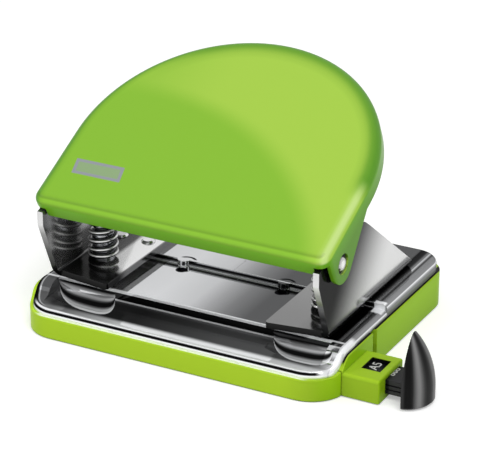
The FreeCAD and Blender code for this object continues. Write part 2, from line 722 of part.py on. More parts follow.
def pressure_frame():
    """Bent sheet under the handle's top: two arms that turn on the pins and carry the bar."""
    body = new_body("pressure_frame")
    top = -at.handle_sheet
    tilt = at.handle_tilt
    reach = at.punch_line - at.pivot_back
    lift = bar_height - at.pivot_height
    bar_y = at.pivot_reach + reach * cosine(tilt) + lift * sine(tilt)
    bar_z = -at.pivot_drop + lift * cosine(tilt) - reach * sine(tilt)
    plan = sketch_on(body, "XY_Plane", top - at.arm_sheet)
    rectangle(plan, -arm_outer, arm_outer, at.frame_front, at.frame_back)
    pad(body, plan, at.arm_sheet)
    grip = at.bar_radius + at.arm_sheet
    r = at.arm_end_radius
    for side in (-1, 1):
        low, high = span(side, arm_inner, arm_outer)
        arm = sketch_on(body, "YZ_Plane", low)
        outline(arm, [
            (at.pivot_reach, -at.pivot_drop - r), (bar_y, bar_z - grip),
            (bar_y + grip, bar_z), (at.frame_back, top), (at.frame_front, top),
            (at.pivot_reach, -at.pivot_drop + r), (at.pivot_reach - r, -at.pivot_drop),
        ], {1: (grip, 1), 5: (r, 1), 6: (r, 1)})
        pad(body, arm, high - low)
    bore = sketch_on(body, "YZ_Plane", far)
    circle(bore, at.pivot_reach, -at.pivot_drop, at.pin_radius + at.running_gap)
    circle(bore, bar_y, bar_z, at.bar_radius + at.seat_gap)
    pocket(body, bore, 2 * far)
    holes = sketch_on(body, "XY_Plane", 0)
    for side in (-1, 1):
        circle(holes, side * at.frame_rivet_offset, at.frame_rivet_line,
               at.rivet_radius + at.seat_gap)
    pocket(body, holes, at.handle_sheet + 2 * at.arm_sheet)
    in_handle(body)


def pressure_bar():
    """Round bar that pushes on both punch heads."""
    body = new_body("pressure_bar")
    section = sketch_on(body, "YZ_Plane", -arm_outer)
    circle(section, at.punch_line, bar_height, at.bar_radius)
    pad(body, section, 2 * arm_outer)


def frame_rivets():
    """Weld studs under the handle's top, closed over the pressure frame."""
    body = new_body("frame_rivets")
    body.AllowCompound = True
    under = -at.handle_sheet - at.arm_sheet
    shank = sketch_on(body, "XY_Plane", under)
    heads = sketch_on(body, "XY_Plane", under - at.rivet_dome)
    for side in (-1, 1):
        circle(shank, side * at.frame_rivet_offset, at.frame_rivet_line, at.rivet_radius)
        circle(heads, side * at.frame_rivet_offset, at.frame_rivet_line, at.rivet_head)
    pad(body, shank, at.arm_sheet)
    pad(body, heads, at.rivet_dome)
    in_handle(body)


# ---------------------------------------------------------------- punches

def punch(prefix, side):
    """Hardened punch with a flat head and a hollow-ground cutting edge."""
    neck = punch_top - at.punch_head_height
    body = turned(prefix + "punch", side * punch_x, at.punch_line, [
        (0.0, at.punch_tip + at.punch_notch), (at.punch_radius, at.punch_tip),
        (at.punch_radius, neck), (at.punch_head, neck), (at.punch_head, punch_top),
        (0.0, punch_top)])
    chamfer(body, lambda edge, p: near(p.z, punch_top), at.punch_head_height / 4)


def washer(prefix, side):
    """Dished washer under the punch's head that the spring pushes against."""
    top = punch_top - at.punch_head_height
    bore = at.punch_radius + at.seat_gap
    turned(prefix + "spring_washer", side * punch_x, at.punch_line, [
        (bore, top - at.washer_height), (at.washer_radius, top - at.washer_height),
        (at.washer_radius, top - at.washer_height / 3), (at.punch_head, top), (bore, top)])


def spring(prefix, side):
    """Coil spring from the foot to the washer: sections of the wire set along a helix."""
    wire = at.spring_wire.value / 2
    reach = at.spring_radius.value - wire
    turns = at.spring_turns.value
    rise = (punch_top - at.punch_head_height - at.washer_height - foot_top - at.spring_wire).value
    corners = [math.radians(60 * corner) for corner in range(7)]
    ring = [FreeCAD.Vector(reach + wire * math.cos(angle), 0, wire * math.sin(angle))
            for angle in corners]
    steps = round(turns * SPRING_STEPS)
    sections = []
    for step in range(steps + 1):
        section = Part.makePolygon(ring)
        section.rotate(FreeCAD.Vector(), FreeCAD.Vector(0, 0, 1), 360 * turns * step / steps)
        section.translate(FreeCAD.Vector(0, 0, rise * step / steps))
        sections.append(section)
    piece = doc.addObject("Part::Feature", prefix + "spring")
    piece.Label = prefix + "spring"
    piece.Shape = Part.makeLoft(sections, True, True)
    bind(piece, "Placement.Base.x", side * punch_x)
    bind(piece, "Placement.Base.y", at.punch_line)
    bind(piece, "Placement.Base.z", foot_top + at.spring_wire / 2)


# ---------------------------------------------------------------- tray and paper guide

def chip_tray():
    """Moulded tray that closes the underside and catches the paper chips."""
    body = new_body("chip_tray")
    plan = sketch_on(body, "XY_Plane")
    rounded_rectangle(plan, tray_half_width, -at.tray_half_depth, at.tray_half_depth,
                      at.tray_corner, at.tray_back_corner)
    pad(body, plan, at.tray_side_height)
    top = sketch_on(body, "YZ_Plane", far)
    ramp(top, at.tray_front_height, at.tray_side_height, far, far)
    pocket(body, top, 2 * far)
    fillet(body, lambda edge, p: near(p.z, 0) and level(edge), at.tray_edge_round)
    inside = sketch_on(body, "XY_Plane", at.tray_side_height)
    wall = at.tray_wall
    rounded_rectangle(inside, tray_half_width - wall, wall - at.tray_half_depth,
                      at.tray_half_depth - wall, at.tray_corner - wall, at.tray_back_corner - wall)
    pocket(body, inside, at.tray_side_height - at.tray_floor)
    gap = sketch_on(body, "XY_Plane", far)
    rectangle(gap, tray_half_width - at.tray_wall - at.side_gap, far,
              at.block_front - at.side_gap, at.tray_gap_back)
    pocket(body, gap, 2 * far)


def guide_housing():
    """Moulded block at the right front corner with a window, a wing along the base and a channel
    under the table in which the rule slides."""
    body = new_body("guide_housing")
    inner = tray_half_width - at.tray_wall
    slack = at.side_gap
    block = sketch_on(body, "XY_Plane", at.block_foot)
    rectangle(block, inner, tray_half_width + at.block_width, at.block_front, at.block_back)
    pad(body, block, at.block_height - at.block_foot)
    fillet(body, lambda edge, p: p.x > tray_half_width.value and not near(p.z, at.block_foot)
           and (near(p.z, at.block_height) or upright(edge)), at.block_round)
    wing = sketch_on(body, "XY_Plane", at.block_foot)
    rectangle(wing, inner, tray_half_width, at.block_front, at.wing_back)
    pad(body, wing, at.tray_side_height - at.block_foot)
    top = sketch_on(body, "YZ_Plane", far)
    ramp(top, at.tray_front_height, at.tray_side_height, far, far)
    pocket(body, top, far - inner)
    channel = sketch_on(body, "XY_Plane", at.rule_bottom)
    rectangle(channel, at.channel_end, tray_half_width, at.rule_front - slack - at.channel_wall,
              at.rule_back + slack + at.channel_wall)
    roof = at.rule_top + slack / 2 + at.channel_roof
    pad(body, channel, roof - at.rule_bottom)
    bosses = sketch_on(body, "XY_Plane", roof - at.channel_roof / 2)
    for across in (at.boss_inner, at.boss_outer):
        circle(bosses, across, at.riser + at.riser_wall + at.boss_radius + slack, at.boss_radius)
    pad(body, bosses, at.table_height - at.sheet - roof + at.channel_roof / 2 - at.seat_gap)
    slot = sketch_on(body, "YZ_Plane", far)
    rectangle(slot, at.rule_front - slack / 2, at.rule_back + slack / 2,
              at.rule_bottom - slack / 2, at.rule_top + slack / 2)
    pocket(body, slot, 2 * far)
    window = sketch_on(body, "XY_Plane", at.block_height)
    rectangle(window, window_inner, window_inner + at.window_width, at.window_front, at.window_back)
    pocket(body, window, at.block_height - at.rule_top)


def guide_rule():
    """Flat rule that slides out to the right, with two grooves along its front edge."""
    body = new_body("guide_rule")
    section = sketch_on(body, "YZ_Plane", at.rule_reach)
    rectangle(section, at.rule_front, at.rule_back, at.rule_bottom, at.rule_top)
    pad(body, section, knob_face - at.rule_reach)
    grooves = sketch_on(body, "YZ_Plane", knob_face)
    third = (at.rule_top - at.rule_bottom) / 3
    for step in (1, 2):
        middle = at.rule_bottom + third * step
        rectangle(grooves, at.rule_front - at.rule_groove, at.rule_front + at.rule_groove,
                  middle - at.rule_groove / 2, middle + at.rule_groove / 2)
    pocket(body, grooves, knob_face - at.rule_reach)


def guide_knob():
    """Pointed half-round end piece: flat towards the paper, rounded outside."""
    body = new_body("guide_knob")
    profile = sketch_on(body, "XZ_Plane")
    pull = at.knob_ogive - at.knob_radius
    tip = at.knob_shoulder + root(at.knob_ogive * at.knob_ogive - pull * pull)
    outline(profile, [
        (0.0, at.knob_foot), (at.knob_radius - at.knob_edge, at.knob_foot),
        (at.knob_radius, at.knob_foot + at.knob_edge), (at.knob_radius, at.knob_shoulder), (0.0, tip),
    ], {3: (at.knob_ogive, 1)})
    revolve(body, "Revolution", profile, "V_Axis")
    face = sketch_on(body, "YZ_Plane", at.knob_cut)
    rectangle(face, -far, far, -far, far)
    pocket(body, face, far)
    bind(body, "Placement.Base.x", knob_face - at.knob_cut)
    bind(body, "Placement.Base.y", (at.rule_front + at.rule_back) / 2 - at.knob_forward)


base_plate()
for make in (bracket, rivets, die, guide_bush, pivot_pin, punch, washer, spring):
    mirrored_pair(make)
handle_shell()
pressure_frame()
pressure_bar()
frame_rivets()
chip_tray()
guide_housing()
guide_rule()
guide_knob()
doc.recompute()

for item in doc.Objects:
    if {"Invalid", "Error"} & set(item.State):
        raise RuntimeError("%s failed: %s" % (item.Name, item.State))
pieces = [item for item in doc.Objects
          if item.TypeId in ("PartDesign::Body", "Part::Feature")]
for piece in pieces:
    if piece.Shape.isNull() or not piece.Shape.isValid():
        raise RuntimeError("%s has no valid shape" % piece.Label)
os.makedirs("parts", exist_ok=True)
for piece in pieces:
    piece.Shape.exportStep("parts/%s.step" % piece.Label)
    print("%-24s %8.1f mm3  %d solid(s)" % (piece.Label, piece.Shape.Volume, len(piece.Shape.Solids)))
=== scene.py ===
"""Looks of the two-hole desk punch: finishes, springs, printed marks, studio and camera.

Places are in the frame of the solids. Numbers are in millimetres in the materials, and a length
times MM is in metres. A ramp's stops are pairs of a place and the level or colour there.

Most of the light and dark on the metal, the lacquer and the knob is painted: bands of colour, set
for the photograph's view, that stay on the object.
"""
import math

import bpy
from mathutils import Matrix, Vector

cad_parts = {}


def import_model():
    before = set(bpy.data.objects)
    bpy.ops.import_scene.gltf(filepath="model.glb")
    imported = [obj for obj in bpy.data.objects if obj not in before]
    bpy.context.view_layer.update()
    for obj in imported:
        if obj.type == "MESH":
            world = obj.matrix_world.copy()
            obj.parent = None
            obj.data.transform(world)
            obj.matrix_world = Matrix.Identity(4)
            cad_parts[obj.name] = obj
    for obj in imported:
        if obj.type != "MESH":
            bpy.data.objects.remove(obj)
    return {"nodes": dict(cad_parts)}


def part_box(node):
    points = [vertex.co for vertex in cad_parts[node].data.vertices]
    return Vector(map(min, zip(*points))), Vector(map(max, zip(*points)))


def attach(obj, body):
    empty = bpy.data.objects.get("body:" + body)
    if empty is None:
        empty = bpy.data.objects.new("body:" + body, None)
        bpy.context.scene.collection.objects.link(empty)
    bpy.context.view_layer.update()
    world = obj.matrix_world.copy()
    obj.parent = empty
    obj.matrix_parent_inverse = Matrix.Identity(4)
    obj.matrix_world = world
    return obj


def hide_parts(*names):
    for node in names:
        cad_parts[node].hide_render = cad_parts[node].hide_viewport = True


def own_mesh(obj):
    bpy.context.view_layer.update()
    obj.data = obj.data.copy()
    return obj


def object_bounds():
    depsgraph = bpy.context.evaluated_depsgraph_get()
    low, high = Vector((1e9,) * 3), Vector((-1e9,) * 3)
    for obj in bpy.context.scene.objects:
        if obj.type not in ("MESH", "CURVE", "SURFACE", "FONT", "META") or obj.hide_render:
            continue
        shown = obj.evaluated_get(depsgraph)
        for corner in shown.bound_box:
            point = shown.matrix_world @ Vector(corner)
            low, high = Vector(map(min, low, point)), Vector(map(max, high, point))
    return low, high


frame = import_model()
cad_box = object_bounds()
MM = 0.001

# Camera: the photograph's view, in metres
CAMERA_PLACE = Vector((0.3191, -0.5929, 0.3282))
VIEW = Vector((-0.4321, 0.8058, -0.4051))
VIEW_UP = Vector((-0.1915, 0.3570, 0.9144))
LENS, SENSOR = 175.2, 36.0
CLIP_START, CLIP_END = 0.01, 20


def camera():
    data = bpy.data.cameras.new("camera")
    data.lens, data.sensor_width, data.sensor_fit = LENS, SENSOR, "HORIZONTAL"
    data.clip_start, data.clip_end = CLIP_START, CLIP_END
    item = bpy.data.objects.new("camera", data)
    back = -VIEW.normalized()
    up = VIEW_UP.normalized()
    right = up.cross(back).normalized()
    item.matrix_world = Matrix.Translation(CAMERA_PLACE) @ Matrix(
        (right, back.cross(right), back)).transposed().to_4x4()
    bpy.context.scene.collection.objects.link(item)
    bpy.context.scene.camera = item


# ---------------------------------------------------------------- materials

GRAIN_DEPTH = 0.05 * MM
CLOUD_SCALE, ROUGHNESS_SPREAD = 35.0, 0.15
# Samples of the painted shade in gaps and joints
GAP_SHADE_SAMPLES = 8


class Nodes:
    """Short way to build a node tree: a term is a number or another node's output."""

    def __init__(self, tree):
        self.tree = tree
        tree.nodes.clear()

    def add(self, kind, links=None, **values):
        node = self.tree.nodes.new("ShaderNode" + kind)
        for name, value in values.items():
            if name in node.bl_rna.properties:
                setattr(node, name, value)
            else:
                node.inputs[name.replace("_", " ")].default_value = value
        for name, term in (links or {}).items():
            self.feed(node.inputs[name], term)
        return node

    def feed(self, socket, term):
        if isinstance(term, bpy.types.NodeSocket):
            self.tree.links.new(term, socket)
        else:
            socket.default_value = term

    def math(self, operation, *terms):
        return self.add("Math", dict(enumerate(terms)), operation=operation).outputs[0]

    def smooth(self, term, low, high, start=0.0, end=1.0):
        """Runs softly from start to end while the term runs from low to high."""
        if low > high:
            low, high, start, end = high, low, end, start
        return self.add("MapRange", {"Value": term}, interpolation_type="SMOOTHSTEP",
                        From_Min=low, From_Max=high, To_Min=start, To_Max=end).outputs[0]

    def times(self, *terms):
        """Product of the terms. For masks it is 1 where every one is 1."""
        result = terms[0]
        for term in terms[1:]:
            result = self.math("MULTIPLY", result, term)
        return result

    def either(self, *masks):
        """1 where any mask is 1."""
        result = masks[0]
        for mask in masks[1:]:
            result = self.math("MAXIMUM", result, mask)
        return result

    def outside(self, mask):
        """1 where the mask is 0."""
        return self.math("SUBTRACT", 1.0, mask)

    def band(self, term, low, high, soft):
        """1 between low and high, 0 outside."""
        return self.times(self.smooth(term, low - soft, low + soft),
                          self.smooth(term, high + soft, high - soft))

    def ramp(self, term, *stops):
        """Level, or colour, that goes through the stops."""
        first, last = stops[0][0], stops[-1][0]
        share = self.add("MapRange", {"Value": term}, From_Min=first, From_Max=last).outputs[0]
        node = self.add("ValToRGB", {"Fac": share})
        marks = node.color_ramp.elements
        for place, _ in stops[1:-1]:
            marks.new((place - first) / (last - first))
        for mark, (place, value) in zip(marks, stops):
            mark.color = value if isinstance(value, tuple) else grey(value)
        return node.outputs[0]

    def mix(self, share, first, second):
        """The first colour where the share is 0, the second where it is 1."""
        return self.add("Mix", {0: share, 6: first, 7: second}, data_type="RGBA").outputs[2]

    def tint(self, colour, shade):
        """The colour times the shade."""
        return self.add("Mix", {0: 1.0, 6: colour, 7: shade}, data_type="RGBA",
                        blend_type="MULTIPLY").outputs[2]

    def scale(self, vector, factor):
        return self.add("VectorMath", {0: vector, "Scale": factor}, operation="SCALE").outputs[0]

    def away(self, vector, origin):
        """The vector from a fixed origin."""
        return self.add("VectorMath", {0: vector, 1: origin}, operation="SUBTRACT").outputs[0]

    def dot(self, vector, direction):
        return self.add("VectorMath", {0: vector, 1: direction},
                        operation="DOT_PRODUCT").outputs["Value"]

    def turned(self, vector, angle):
        """The vector turned by an angle about X."""
        return self.add("VectorRotate", {"Vector": vector}, rotation_type="X_AXIS",
                        Angle=angle).outputs[0]

    def split(self, vector):
        return self.add("SeparateXYZ", {0: vector}).outputs

    def length(self, first, second):
        """Length of the flat vector with these two terms."""
        flat = self.add("CombineXYZ", {"X": first, "Y": second}).outputs[0]
        return self.add("VectorMath", {0: flat}, operation="LENGTH").outputs["Value"]

    def distance(self, first, second, centre):
        """Distance of two terms from a centre in their plane."""
        return self.length(self.math("SUBTRACT", first, centre[0]),
                           self.math("SUBTRACT", second, centre[1]))

    def point(self):
        return self.scale(self.add("TexCoord").outputs["Object"], 1 / MM)

    def normal(self, tilt=0.0):
        """The surface's direction, on axes that are tilted about X."""
        return self.split(self.turned(self.add("TexCoord").outputs["Normal"], -tilt))

    def noise(self, scale, detail=3.0, stretch=(1.0, 1.0, 1.0)):
        point = self.add("Mapping", {0: self.add("TexCoord").outputs["Object"]}, Scale=stretch)
        return self.add("TexNoise", {"Vector": point.outputs[0]}, Scale=scale,
                        Detail=detail).outputs["Fac"]

    def cloudy(self, colour, scale, dull):
        """The colour, which drifts to a duller share of itself and back."""
        faded = tuple(dull * part for part in colour)
        return self.ramp(self.noise(scale), (0.3, faded), (0.7, colour))

    def gap_shaded(self, colour, reach):
        """Painted shade: darkens the colour in gaps and joints, up to a reach in millimetres."""
        open_share = self.add("AmbientOcclusion", samples=GAP_SHADE_SAMPLES,
                              Distance=reach * MM).outputs["AO"]
        return self.tint(colour, self.ramp(open_share, (0.0, 0.08), (0.35, 0.45), (0.6, 1.0),
                                           (1.0, 1.0)))

    def surface(self, colour, roughness, grain, grain_scale, edge, stretch=(1.0, 1.0, 1.0),
                metal=0.0, **values):
        """Principled surface with a fine texture and edges softened by a radius in millimetres."""
        fine = self.noise(grain_scale, 2.0, stretch)
        bevel = self.add("Bevel", Radius=edge * MM)
        bump = self.add("Bump", {"Height": fine, "Normal": bevel.outputs[0]},
                        Strength=grain, Distance=GRAIN_DEPTH)
        rough = self.add("MapRange", {"Value": self.noise(CLOUD_SCALE)},
                         To_Min=roughness * (1 - ROUGHNESS_SPREAD),
                         To_Max=roughness * (1 + ROUGHNESS_SPREAD))
        shader = self.add("BsdfPrincipled", {
            "Base Color": colour, "Roughness": rough.outputs[0], "Normal": bump.outputs[0],
            "Metallic": metal}, **values)
        self.add("OutputMaterial", {"Surface": shader.outputs[0]})


def material(name):
    item = bpy.data.materials.new(name)
    item.use_nodes = True
    return item, Nodes(item.node_tree)


def grey(level):
    return (level, level, level, 1)


def srgb(red, green, blue):
    """Linear colour of an 8-bit display colour."""
    def linear(value):
        value /= 255
        return value / 12.92 if value <= 0.04045 else ((value + 0.055) / 1.055) ** 2.4
    return (linear(red), linear(green), linear(blue), 1.0)


# Metals, then the painted reflections of the right wall and of the stop lugs in the plate
CHROME = (0.97, 0.98, 1.0, 1)
RIVET_METAL, TOOL_METAL = (0.78, 0.78, 0.79, 1), (0.42, 0.43, 0.45, 1)
WALL_REFLECTION, LUG_REFLECTION = (0.006, 0.006, 0.007, 1), (0.005, 0.005, 0.006, 1)
# Lacquer of the handle, and the colours of its painted sheen, shade and highlight
HANDLE_GREEN, SHEEN_GREEN = (0.243, 0.497, 0.036, 1), (0.374, 0.6, 0.068, 1)
SHADED_SKIRT_GREEN, SHADED_FLANK_GREEN = (0.155, 0.41, 0.012, 1), (0.12, 0.35, 0.004, 1)
RIM_SHADE_GREEN, STRIPE_HIGHLIGHT_GREEN = (0.105, 0.3, 0.02, 1), (0.58, 0.76, 0.27, 1)
PRINT_GREY = srgb(148, 152, 158)
# Plastic of the tray, the guide housing, the rule and the knob, with painted shade and highlight
FRONT_GREEN, TRAY_GREEN = (0.415, 0.625, 0.03, 1), (0.31, 0.49, 0.022, 1)
SHADED_SIDE_GREEN, SILL_HIGHLIGHT_GREEN = (0.311, 0.555, 0.01, 1), (0.85, 0.95, 0.65, 1)
BLACK, KNOB_TOP = srgb(20, 21, 24), (0.012, 0.012, 0.014, 1)
WHITE = srgb(236, 236, 232)

# Grain of machined and pressed metal
METAL_GRAIN = 900.0

# Base plate: its rim in plan, then the heights and the fronts of its steps
PLATE_SIDE, PLATE_FRONT, PLATE_CORNER = 54.2, -42.9, 10.9
FLANGE_TOP, TABLE_TOP = 10.1, 14.1
RISER, SHELF_FRONT = -28.0, -1.4
PAINTED_METAL = 0.4

# Half moon of each finger scoop, drawn for the photograph's view: its origin, then the directions
# across and down that view, in shares of the half moon's size for each millimetre
SCOOPS = (((36.5, -24.4, 9.7), (0.1004, 0.0504, 0.0013), (0.0031, -0.0749, -0.1348)),
          ((-42.0, -22.2, 9.7), (0.0962, 0.0592, -0.003), (-0.0035, -0.0662, -0.113)))
SCOOP_TOP = 13.2

# Stop lugs in plan: the middle between them, their offset, and the two rings of their painted dark
# marks, each with the Y of its centre and its inner and outer radius (below 0, the ring is full)
LUG_MIDDLE, LUG_OFFSET = 1.1, 17.9
LUG_RINGS = ((-5.3, -1.0, 1.9), (-2.2, 2.6, 3.5))


def plate_chrome():
    """Bright plate, with the studio's reflections painted on each face as bands."""
    item, nodes = material("chrome_plate")
    point = nodes.point()
    x, y, z = nodes.split(point)
    wide = nodes.math("ABSOLUTE", x)
    corner = nodes.length(
        nodes.math("MAXIMUM", nodes.math("SUBTRACT", wide, PLATE_SIDE - PLATE_CORNER), 0.0),
        nodes.math("MAXIMUM", nodes.math("SUBTRACT", PLATE_FRONT + PLATE_CORNER, y), 0.0))
    within = nodes.math("SUBTRACT", PLATE_CORNER, corner)

    front_rim = nodes.times(nodes.smooth(within, 1.5, 1.0), nodes.smooth(x, 51.0, 49.0),
                            nodes.smooth(y, -36.5, -40.0))
    flange = flange_bands(nodes, x, y, z, front_rim)
    above_flange = nodes.smooth(z, FLANGE_TOP + 0.05, FLANGE_TOP + 0.25)
    level = nodes.mix(above_flange, flange, riser_bands(nodes, x, z, wide))
    level = nodes.mix(nodes.smooth(z, TABLE_TOP - 0.15, TABLE_TOP - 0.05), level,
                      table_bands(nodes, x, y, z))

    # Painted black reflection along the left rim
    left_rim = nodes.times(nodes.smooth(x, -45.0, -49.0), nodes.smooth(y, -20, -23),
                           nodes.outside(front_rim))
    level = nodes.mix(left_rim, level, left_rim_bands(nodes, y, within))
    # Painted highlight along the crest of the riser
    crest_highlight = nodes.times(nodes.band(y, RISER - 0.6, RISER + 0.5, 0.1),
                        nodes.smooth(z, TABLE_TOP - 0.9, TABLE_TOP - 0.7))
    level = nodes.mix(crest_highlight, level, grey(0.95))
    # Painted highlight along the rolled right rim
    right_rim = nodes.times(nodes.smooth(within, 1.9, 1.7), nodes.smooth(y, -38.5, -35.5),
                            nodes.smooth(x, 46.0, 49.0))
    level = nodes.mix(right_rim, level, right_rim_bands(nodes, y))
    # Painted glint at the step up to the shelf
    glint = nodes.times(nodes.band(y, -4.5, 0.3, 0.5), nodes.band(x, 49.6, 53.4, 0.3))
    level = nodes.mix(glint, level, grey(0.98))

    moons = []
    for scoop in SCOOPS:
        inside, bands = scoop_bands(nodes, point, z, *scoop)
        level = nodes.mix(inside, level, bands)
        moons.append(inside)
    # A full mirror would show other pieces over the painted bands and over the brightest cards
    painted = nodes.either(*moons, left_rim, right_rim, nodes.outside(above_flange))
    shine = nodes.math("MINIMUM", nodes.smooth(level, 0.8, 0.93, 0.92, PAINTED_METAL),
                       nodes.smooth(painted, 0.0, 1.0, 1.0, PAINTED_METAL))
    nodes.surface(nodes.tint(level, CHROME), roughness=0.06, grain=0.03, grain_scale=METAL_GRAIN,
                  edge=0.3, metal=shine, Specular_IOR_Level=0.0, Specular_Tint=grey(0.5))
    return item


def table_bands(nodes, x, y, z):
    """Paper table: painted reflections of the studio, the right wall and the lugs, a painted
    highlight before the shelf, and painted light and dark bands on the shelf's edge behind."""
    level = nodes.ramp(x, (-56, 0.45), (-30, 0.74), (-14, 0.79), (-2, 0.66), (4, 0.43), (10, 0.25),
                       (18, 0.13), (46.3, 0.13), (46.8, 0.02), (48.9, 0.03), (49.4, 0.2),
                       (50.1, 0.25), (50.3, 0.65), (50.6, 0.65), (50.9, 0.02), (51.4, 0.02),
                       (51.8, 0.3), (56, 0.27))
    crease_highlight = nodes.times(nodes.band(y, SHELF_FRONT - 1.1, SHELF_FRONT - 0.3, 0.15),
                         nodes.smooth(z, TABLE_TOP + 0.2, TABLE_TOP + 0.05))
    level = nodes.mix(crease_highlight, level, grey(0.9))
    # Painted reflection of the right wall's foot in the table
    wall_foot_reflection = nodes.times(nodes.band(x, 46.5, 49.6, 0.2),
                            nodes.smooth(y, SHELF_FRONT, SHELF_FRONT - 0.6))
    level = nodes.mix(wall_foot_reflection, level, WALL_REFLECTION)
    level = nodes.mix(lug_reflections(nodes, x, y), level, LUG_REFLECTION)
    # Painted light and dark bands on the face of the step up to the shelf
    edge = nodes.ramp(z, (14.0, 0.9), (14.25, 0.9), (14.35, 0.04), (14.6, 0.25), (14.75, 0.01),
                      (15.5, 0.01), (15.75, 0.6), (16.0, 0.8))
    facing = nodes.times(nodes.band(y, SHELF_FRONT - 0.25, SHELF_FRONT + 0.2, 0.1),
                         nodes.smooth(z, TABLE_TOP + 0.05, TABLE_TOP + 0.1))
    return nodes.mix(facing, level, edge)


def lug_reflections(nodes, x, y):
    """The painted reflection of each stop lug in the plate in front of it, and a painted dark rim
    behind it.
    """
    beside = nodes.math("ABSOLUTE", nodes.math("SUBTRACT", x, LUG_MIDDLE))
    front, back = (nodes.band(nodes.distance(beside, y, (LUG_OFFSET, centre)), inner, outer, 0.2)
                   for centre, inner, outer in LUG_RINGS)
    return nodes.either(front, nodes.times(back, nodes.smooth(y, -0.6, 0.1)))


def flange_bands(nodes, x, y, z, front_rim):
    """Front flange: painted reflections, dark at its back, bright to its front, a black line in its
    rim.
    """
    dark = nodes.ramp(x, (-53, 0.17), (-50, 0.085), (-44, 0.04), (-34, 0.025), (-16, 0.02),
                      (0, 0.045), (14, 0.075), (45, 0.1), (49, 0.4), (52, 0.8))
    bright = nodes.ramp(x, (-52, 0.2), (-44, 0.2), (-38, 0.32), (-30, 0.55), (-18, 0.9),
                        (52, 0.95))
    level = nodes.mix(nodes.smooth(y, -37.9, -40.2), dark, bright)
    level = nodes.mix(nodes.smooth(y, -29, -24), level, grey(0.42))
    rim = nodes.ramp(z, (7.2, 0.97), (8.3, 0.97), (8.5, 0.004), (9.1, 0.004), (9.3, 0.95),
                     (9.6, 0.95))
    level = nodes.mix(front_rim, level, rim)
    right = nodes.ramp(x, (51.8, 0.3), (52.3, 0.95), (53.0, 0.95), (54.3, 0.9))
    return nodes.mix(nodes.smooth(x, 51.8, 52.1), level, right)


def riser_bands(nodes, x, z, wide):
    """Riser of the table: painted reflections, black between two bright edges, lighter at its right
    end.
    """
    middle = nodes.ramp(z, (10.0, 0.9), (10.8, 0.9), (11.0, 0.012), (12.4, 0.04), (13.1, 0.02),
                        (13.25, 0.95), (13.9, 0.95))
    right = nodes.ramp(z, (10.0, 0.8), (10.9, 0.7), (11.2, 0.25), (12.4, 0.7), (13.3, 0.5),
                       (13.9, 0.9))
    end = nodes.mix(nodes.smooth(x, 1, -1), right, grey(0.42))
    return nodes.mix(nodes.smooth(wide, 49.5, 51.5), middle, end)


def left_rim_bands(nodes, y, within):
    """Left end of the flange: painted reflections, a black rim with a grey roll, then a brightening
    slope.
    """
    rim = nodes.ramp(within, (0.0, 0.004), (1.5, 0.004), (1.7, 0.22), (2.0, 0.5), (2.3, 0.3))
    slope = nodes.ramp(y, (-42, 0.16), (-34, 0.09), (-29, 0.12), (-25, 0.3), (-22, 0.5))
    return nodes.mix(nodes.smooth(within, 2.0, 2.4), rim, slope)


def right_rim_bands(nodes, y):
    """Rolled right rim: a painted highlight along the turn of its edge, painted all bright at its
    front.
    """
    up = nodes.normal()["Z"]
    roll = nodes.ramp(up, (0.0, 0.3), (0.2, 0.5), (0.33, 0.55), (0.4, 0.97), (0.52, 0.97),
                      (0.62, 0.3), (1.0, 0.27))
    return nodes.mix(nodes.smooth(y, -22.5, -25.5), roll, grey(0.97))


def scoop_bands(nodes, point, z, origin, along, down):
    """Painted half moon of a finger scoop: where it is, and its painted reflection bands up to its
    lip.
    """
    away = nodes.away(point, origin)
    aside = nodes.math("ABSOLUTE", nodes.dot(away, along))
    bulge = nodes.math("SUBTRACT", 1.0, nodes.math("POWER", aside, 3.0))
    bulge = nodes.math("POWER", nodes.math("MAXIMUM", bulge, 0.0001), 0.33)
    share = nodes.math("DIVIDE", nodes.dot(away, down), bulge)
    bands = nodes.ramp(share, (0.0, 0.004), (0.07, 0.01), (0.2, 0.4), (0.29, 0.48), (0.37, 1.0),
                       (0.43, 0.7), (0.5, 0.12), (0.57, 0.01), (0.72, 0.01), (0.78, 0.2),
                       (0.85, 0.7), (0.92, 0.7), (0.95, 1.0), (1.02, 1.0))
    inside = nodes.times(nodes.band(share, 0.0, 1.01, 0.015), nodes.smooth(aside, 1.0, 0.985),
                         nodes.smooth(z, SCOOP_TOP, SCOOP_TOP - 0.4))
    return inside, bands


# Brackets: the top of the foot, and how the painted dark reflection on the right wall leans back as
# it rises
FOOT_TOP = 18.0
WALL_MIDDLE, WALL_LEAN = 28.0, 0.75


